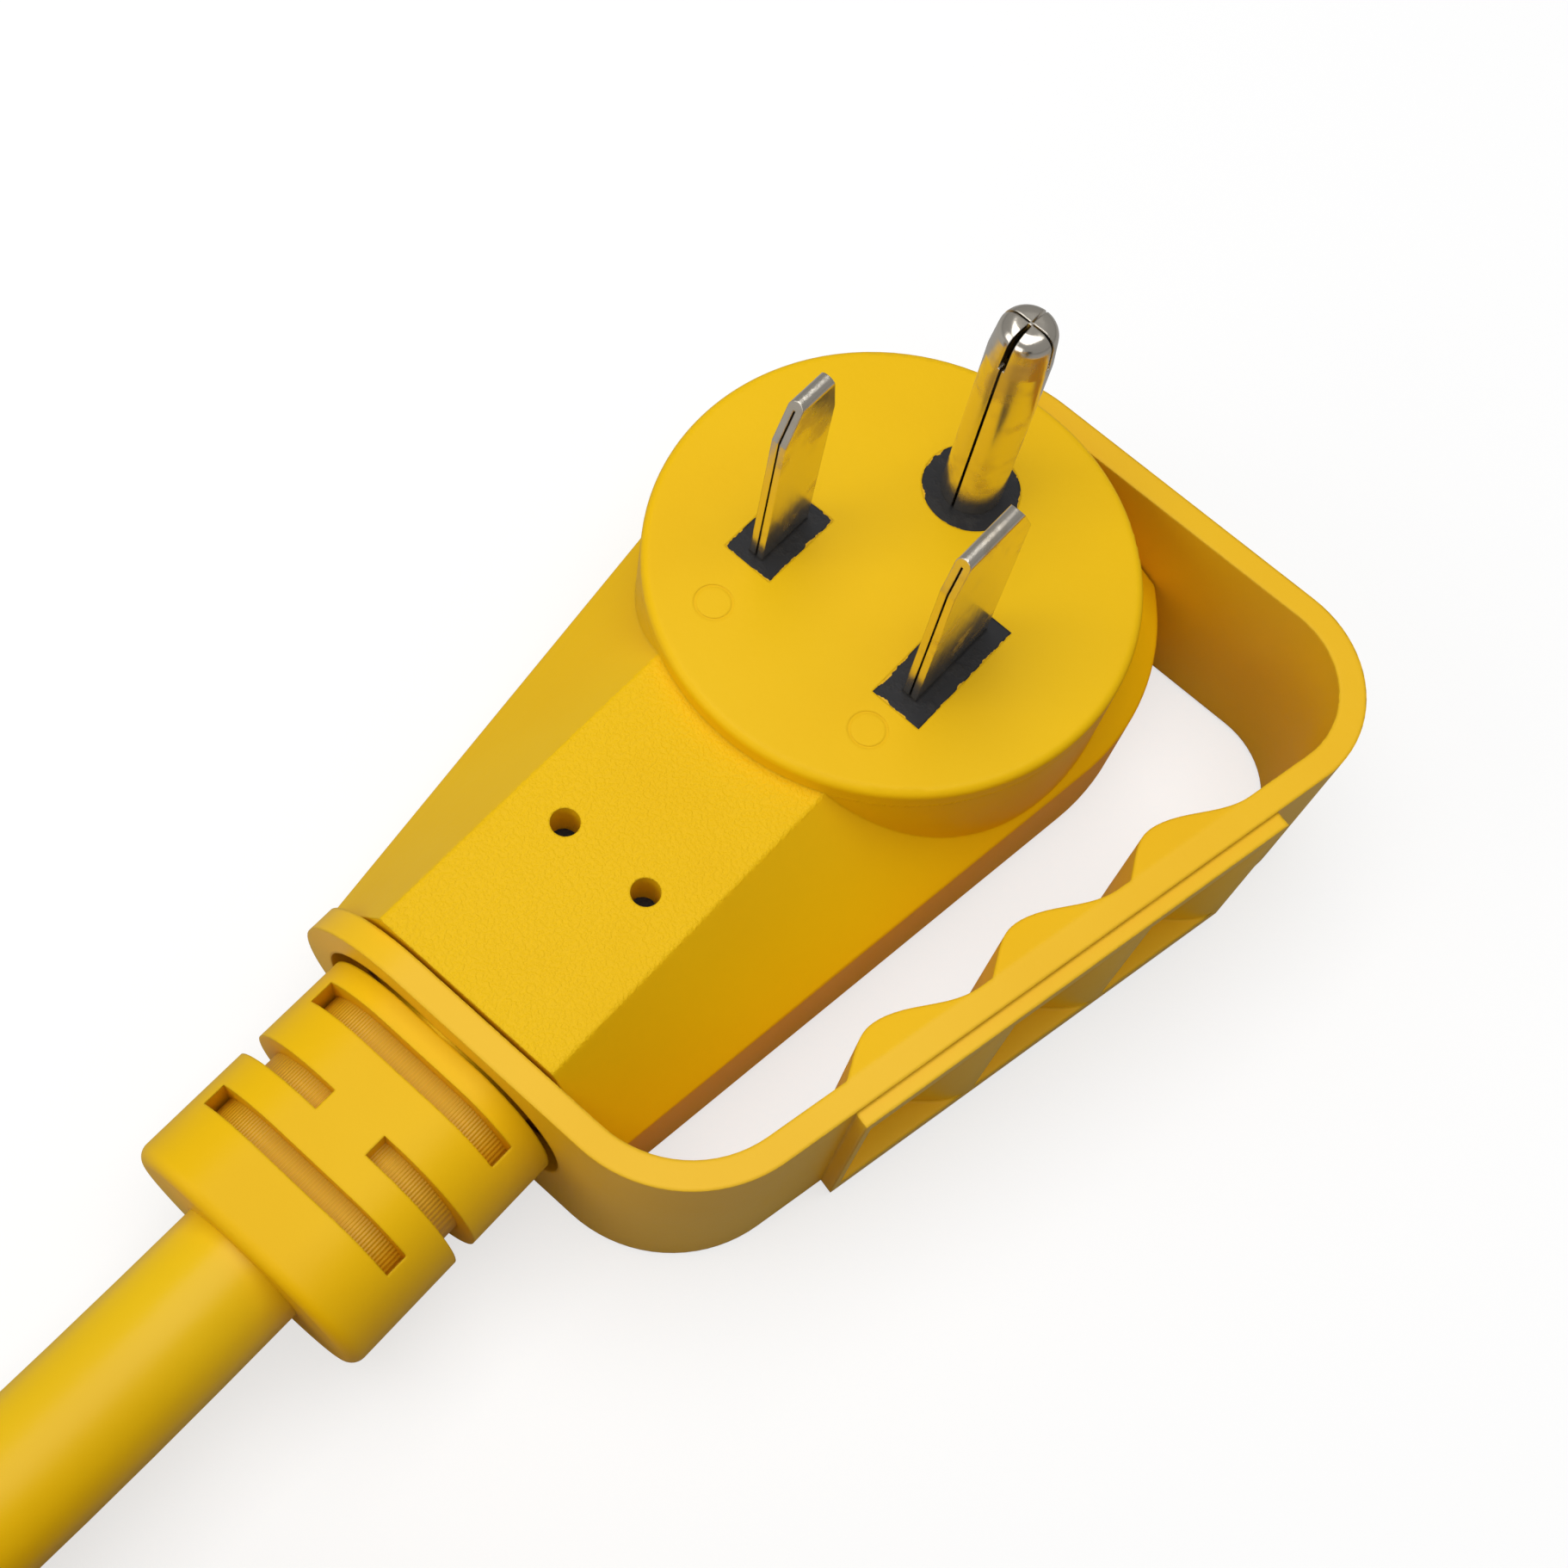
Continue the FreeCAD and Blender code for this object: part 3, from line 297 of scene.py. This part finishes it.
# %% Plug vinyl
PLUG_YELLOW = (0.88, 0.53, 0.003)
PLUG_DEEP = (0.83, 0.46, 0.002)
BOOT_YELLOW = (0.87, 0.52, 0.003)
BOOT_DEEP = (0.81, 0.44, 0.002)
SPECK_BROWN = (0.10, 0.05, 0.01)
TOP_FLAT_Z = 0.0286   # height of the grained flat, in metres


def plug_vinyl(name, light, deep, grain_on_top):
    tree = Tree(bpy.data.materials.new(name))
    cloudy = tree.noise(38.0, 3.0).band(0.35, 0.7)
    colour = tree.mix(cloudy * 0.35, light, deep)
    specks = tree.noise(520.0, 1.0).band(0.84, 0.86)
    colour = tree.mix(specks * 0.4, colour, SPECK_BROWN)
    skin = tree.noise(900.0, 2.0) * 0.02 + tree.noise(90.0, 2.0) * 0.05
    roughness = 0.40 + 0.06 * cloudy
    if grain_on_top:
        z = tree.axis("Z")
        reached = z.band(TOP_FLAT_Z - 0.0003, TOP_FLAT_Z - 0.0001)
        passed = z.band(TOP_FLAT_Z + 0.0002, TOP_FLAT_Z + 0.0004)
        flat = reached * (1 - passed)
        pebble = tree.noise(2300.0, 2.0, 0.6).band(0.36, 0.66)
        skin = skin + flat * pebble * 0.045
        roughness = roughness + 0.08 * flat
    return tree.finish(colour, roughness, skin, Specular_IOR_Level=0.14)


plug_skin = plug_vinyl("plug_vinyl", PLUG_YELLOW, PLUG_DEEP, True)
dress(plug_skin, "plug_body")
boot_skin = plug_vinyl("boot_vinyl", BOOT_YELLOW, BOOT_DEEP, False)
dress(boot_skin, "strain_relief", "connector_boot", "connector_body")
print("plug vinyl on the body, the boot and the connector")

# %% [markdown]
# The handle is moulded from a firmer plastic in nearly the same yellow. Its skin is a little
# glossier than the plug's, with slow waves where the thick strap shrank as it cooled.

# %% Handle plastic
HANDLE_YELLOW = (0.90, 0.53, 0.012)
HANDLE_DEEP = (0.85, 0.46, 0.008)
tree = Tree(bpy.data.materials.new("handle_plastic"))
cloudy = tree.noise(30.0, 3.0).band(0.35, 0.7)
colour = tree.mix(cloudy * 0.4, HANDLE_YELLOW, HANDLE_DEEP)
skin = tree.noise(700.0, 2.0) * 0.02 + tree.noise(60.0, 2.0) * 0.08
handle_plastic = tree.finish(colour, 0.36 + 0.07 * cloudy, skin, edge=0.0006,
                             Specular_IOR_Level=0.22)
dress(handle_plastic, "handle")

# %% [markdown]
# The cord's jacket is extruded vinyl: smooth and a little glossier than the plug. Its colour and
# skin change only slowly, the same in all directions, so no map has to follow the cord's turns.

# %% Cord jacket
CORD_YELLOW = (0.85, 0.54, 0.004)
CORD_DEEP = (0.78, 0.46, 0.002)
tree = Tree(bpy.data.materials.new("cord_jacket"))
cloudy = tree.noise(22.0, 2.0).band(0.35, 0.7)
colour = tree.mix(cloudy * 0.4, CORD_YELLOW, CORD_DEEP)
skin = tree.noise(260.0, 2.0) * 0.05
cord_jacket = tree.finish(colour, 0.33 + 0.08 * cloudy, skin, edge=0.0,
                          Specular_IOR_Level=0.25)
cord.data.materials.append(cord_jacket)
dress(cord_jacket, "jacket_end", "connector_jacket_end")

# %% [markdown]
# Between the jacket and the boot lies a sleeve, seen only at the bottom of the slots. The mould
# left fine ribs on it that run along the cord.

# %% Ribbed sleeve
SLEEVE_YELLOW = (0.74, 0.42, 0.006)
SLEEVE_DEEP = (0.62, 0.33, 0.004)
tree = Tree(bpy.data.materials.new("ribbed_sleeve"))
ribs = tree.node("ShaderNodeTexWave", {"wave_type": "BANDS", "bands_direction": "Y"},
                 {"Vector": tree.place(), "Scale": 900.0, "Distortion": 0.0})
colour = tree.mix(ribs * 0.35, SLEEVE_YELLOW, SLEEVE_DEEP)
dress(tree.finish(colour, 0.5, ribs * 0.06), "strain_core")

# %% [markdown]
# The pins are folded and rolled from sheet brass and plated with nickel. Polished plating is a
# mirror: most of the gold seen on the blades is the yellow face reflected in them, so the
# plating itself is only a warm grey, with draw marks along the pins and a few dull smudges.

# %% Nickel plating
NICKEL = (0.80, 0.74, 0.64)
NICKEL_WORN = (0.46, 0.36, 0.22)


def plating(name, base, worn):
    tree = Tree(bpy.data.materials.new(name))
    draw = tree.noise(1.0, 3.0, 0.6, tree.stretched(1600, 1600, 90))
    smudge = tree.noise(160.0, 3.0, 0.6).band(0.50, 0.72)
    colour = tree.mix(smudge * 0.55, base, worn)
    roughness = 0.14 + 0.10 * draw + 0.16 * smudge
    return tree.finish(colour, roughness, draw * 0.012 + smudge * 0.01,
                       metallic=1.0, edge=0.0002)


dress(plating("nickel_plating", NICKEL, NICKEL_WORN),
      "blade_narrow", "blade_wide", "ground_pin")

# %% [markdown]
# The black inner case grips the pins before the yellow vinyl is moulded round it. It shows in a
# window round each pin, flush with the face, and the vinyl crept over the windows' edges, which
# leaves a ragged yellow rim. The rim is found as the distance to the window's edge plus noise.

# %% Black case, in plug millimetres
BLADE_Y = 11.46                          # from the middle to each blade
WINDOW_HALF_W = 3.2
WIDE_X, WIDE_HALF_L = -5.8, 8.0          # middle and half length of the wide blade's window
NARROW_X, NARROW_HALF_L = -6.2, 5.4      # the same for the narrow blade's
GROUND_X, GROUND_WINDOW_R = 13.3, 5.6
RAGGED = 1.6                             # from the least to the most that the vinyl crept
RIM = 0.03                               # the rim's width where the noise is at its middle
NEAR_FACE = 0.1                          # what lies this near the face's height is on it
CASE_BLACK = (0.010, 0.010, 0.012)
CASE_DUST = (0.045, 0.042, 0.038)
tree = Tree(bpy.data.materials.new("case_plastic"))
dust = tree.noise(500.0, 3.0, 0.6).band(0.45, 0.75)
colour = tree.mix(dust * 0.5, CASE_BLACK, CASE_DUST)
x = tree.axis("X") * (1 / MILLIMETRE) - SHIFT.x
y = tree.axis("Y") * (1 / MILLIMETRE) - SHIFT.y
z = tree.axis("Z") * (1 / MILLIMETRE)
narrow_side = y.above(0.0)
half_length = WIDE_HALF_L - (WIDE_HALF_L - NARROW_HALF_L) * narrow_side
middle = WIDE_X - (WIDE_X - NARROW_X) * narrow_side
along = half_length - (x - middle).size()
across = WINDOW_HALF_W - (y.size() - BLADE_Y).size()
round_ground = GROUND_WINDOW_R - ((x - GROUND_X) ** 2.0 + y ** 2.0) ** 0.5
inside = tree.math("MAXIMUM", tree.math("MINIMUM", along, across), round_ground)
creep = (inside + (tree.noise(420.0, 3.0, 0.65) - 0.5) * RAGGED).below(RIM)
on_face = z.above(FACE_Z - NEAR_FACE) * z.below(FACE_Z + NEAR_FACE)
colour = tree.mix(creep * on_face, colour, PLUG_DEEP)
case_plastic = tree.finish(colour, 0.5 + 0.2 * dust, dust * 0.05,
                           Specular_IOR_Level=0.35)
dress(case_plastic, "inner_case_top", "inner_case_bottom", "connector_face")

# %% [markdown]
# Small parts: turned steel and brass with tool marks that run round them, coloured wire
# insulation, a rubber gasket, a black lock ring and a woven strap round the coil.

# %% Small parts
STEEL, STEEL_DARK = (0.60, 0.60, 0.61), (0.42, 0.42, 0.43)
BRASS, BRASS_DARK = (0.80, 0.58, 0.26), (0.55, 0.38, 0.16)
RUBBER, RUBBER_DULL = (0.018, 0.018, 0.019), (0.035, 0.034, 0.033)
RING_BLACK, RING_GREY = (0.022, 0.022, 0.024), (0.04, 0.04, 0.042)
STRAP_BLACK, STRAP_GREY = (0.012, 0.012, 0.014), (0.05, 0.05, 0.055)
WIRE_BLACK, WIRE_WHITE, WIRE_GREEN = (0.02, 0.02, 0.02), (0.80, 0.80, 0.77), (0.03, 0.26, 0.06)


def turned_metal(name, base, dark):
    tree = Tree(bpy.data.materials.new(name))
    marks = tree.noise(1.0, 2.0, 0.6, tree.stretched(2200, 260, 260))
    colour = tree.mix(marks.band(0.4, 0.7) * 0.4, base, dark)
    return tree.finish(colour, 0.25 + 0.15 * marks, marks * 0.01, metallic=1.0, edge=0.0002)


dress(turned_metal("turned_steel", STEEL, STEEL_DARK),
      "pivot_screw", "pivot_washer")
dress(turned_metal("contact_brass", BRASS, BRASS_DARK),
      "pivot_insert", "connector_contact_line_1", "connector_contact_line_2",
      "connector_contact_ground")


def insulation(name, base):
    tree = Tree(bpy.data.materials.new(name))
    mottle = tree.noise(600.0, 2.0).band(0.4, 0.7)
    colour = tree.mix(mottle * 0.3, base, tuple(c * 0.75 for c in base))
    return tree.finish(colour, 0.32 + 0.08 * mottle, mottle * 0.01, edge=0.0)


dress(insulation("wire_black", WIRE_BLACK), "conductor_line_1", "connector_conductor_line_1")
dress(insulation("wire_white", WIRE_WHITE), "conductor_line_2", "connector_conductor_line_2")
dress(insulation("wire_green", WIRE_GREEN), "conductor_ground", "connector_conductor_ground")

tree = Tree(bpy.data.materials.new("gasket_rubber"))
dull = tree.noise(800.0, 2.0).band(0.4, 0.7)
colour = tree.mix(dull, RUBBER, RUBBER_DULL)
dress(tree.finish(colour, 0.65 + 0.1 * dull, dull * 0.02), "connector_gasket")

tree = Tree(bpy.data.materials.new("ring_plastic"))
grain = tree.noise(1500.0, 2.0).band(0.35, 0.7)
colour = tree.mix(grain * 0.4, RING_BLACK, RING_GREY)
dress(tree.finish(colour, 0.42 + 0.12 * grain, grain * 0.05, edge=0.0006), "lock_ring")

tree = Tree(bpy.data.materials.new("woven_strap"))
warp = tree.node("ShaderNodeTexWave", {"wave_type": "BANDS", "bands_direction": "Y"},
                 {"Vector": tree.place(), "Scale": 300.0, "Distortion": 0.4})
weft = tree.node("ShaderNodeTexWave", {"wave_type": "BANDS", "bands_direction": "DIAGONAL"},
                 {"Vector": tree.place(), "Scale": 200.0, "Distortion": 0.4})
weave = warp * 0.6 + weft * 0.4
colour = tree.mix(weave, STRAP_BLACK, STRAP_GREY)
dress(tree.finish(colour, 0.75, weave * 0.25), "coil_tie")
print("every carried-over node has its finish:",
      all(n.data.materials and n.data.materials[0] for n in nodes.values()))

# %% [markdown]
# A plain floor and soft light from all round. A large panel overhead gives the broad highlight
# on the face. A second, on the side away from the handle, lifts the plug's slopes there, and a
# third one, low down beyond the cord, lifts the boot. Floor and sky look paler to the camera than
# the light they give: its rays alone see a brighter sky and a floor that glows.

# %% Floor and light
FLOOR_SIZE = 30.0     # metres, so that its edge stays out of view
FLOOR_DROP = 0.0002   # keeps the floor clear of the surfaces that stand on it
FLOOR_GREY = (0.36, 0.36, 0.36)
NO_GLOW, FLOOR_GLOW = (0.0, 0.0, 0.0), (0.66, 0.66, 0.66)
SKY_GIVEN, SKY_SEEN = 0.27, 0.9

bpy.ops.mesh.primitive_plane_add(size=FLOOR_SIZE, location=(0, 0, -FLOOR_DROP))
floor = bpy.context.object
floor.name = "floor"
tree = Tree(bpy.data.materials.new("floor_paint"))
glow = tree.mix(tree.seen(), NO_GLOW, FLOOR_GLOW)
floor.data.materials.append(tree.finish(FLOOR_GREY, 0.9, edge=0.0, Emission_Strength=1.0,
                                        Emission_Color=glow))

world = bpy.data.worlds.new("studio")
tree = Tree(world)
strength = tree.node("ShaderNodeMapRange", None,
                     {"Value": tree.seen(), "To Min": SKY_GIVEN, "To Max": SKY_SEEN})
sky = tree.node("ShaderNodeBackground", None, {"Color": (1.0, 1.0, 1.0), "Strength": strength})
tree.node("ShaderNodeOutputWorld", None, {"Surface": sky})
bpy.context.scene.world = world


def panel(name, place, target, size, power):
    """A rectangular light of so many metres and watts at place, turned to face target."""
    light = bpy.data.lights.new(name, "AREA")
    light.shape = "RECTANGLE"
    light.size, light.size_y = size
    light.energy = power
    thing = bpy.data.objects.new(name, light)
    bpy.context.scene.collection.objects.link(thing)
    thing.location = place
    thing.rotation_euler = (Vector(target) - Vector(place)).to_track_quat("-Z", "Y").to_euler()


panel("top_panel", (0.0, 0.08, 0.9), (0, 0, 0), (0.9, 0.9), 6.2)
panel("side_panel", (-0.7, 0.5, 0.5), (0, 0, 0.02), (0.6, 0.6), 1.8)
panel("near_panel", (-0.85, -0.12, 0.25), (-0.03, -0.03, 0.02), (0.5, 0.4), 1.1)
bpy.context.scene.view_settings.view_transform = "Standard"
